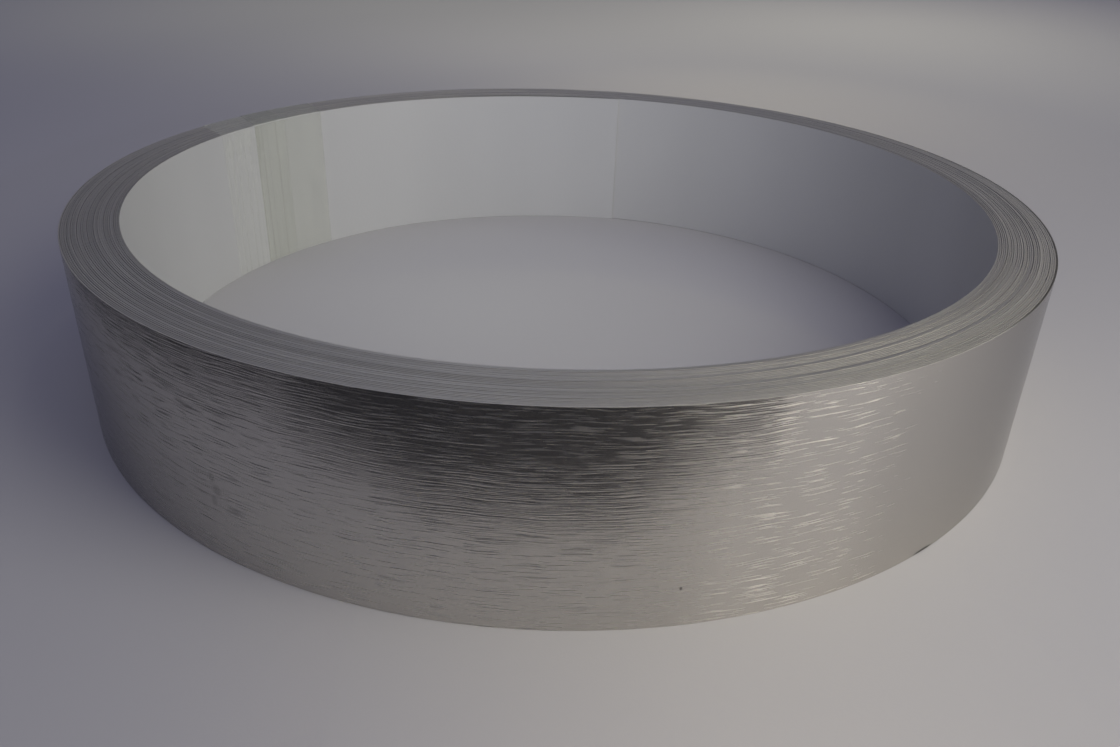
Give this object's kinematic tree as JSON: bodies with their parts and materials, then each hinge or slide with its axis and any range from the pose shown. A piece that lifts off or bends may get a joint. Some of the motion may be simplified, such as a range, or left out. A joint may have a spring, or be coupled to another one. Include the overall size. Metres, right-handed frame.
{
  "type": "coil of aluminum trim cap",
  "caption": "Wide, short ring of flat brushed aluminium strip, white on its back, wound tight, lying flat and held by adhesive tape.",
  "frame": {"origin": "centre of the bore, on the floor that the coil lies on", "axes": "+Z along the coil's axis, up; +X to the right and +Y away from the viewer, with the tape bands at the back left"},
  "size_m": [0.533, 0.533, 0.1011],
  "materials": {
    "trim_cap_strip": "face brushed along the strip, back painted white, cut edges bare",
    "adhesive_tape": "thin see-through packing tape, yellowed by its adhesive"
  },
  "bodies": {
    "root": {"trim_cap_coil": "trim_cap_strip", "tape_band_under": "adhesive_tape", "tape_band_over": "adhesive_tape"}
  },
  "joints": []
}
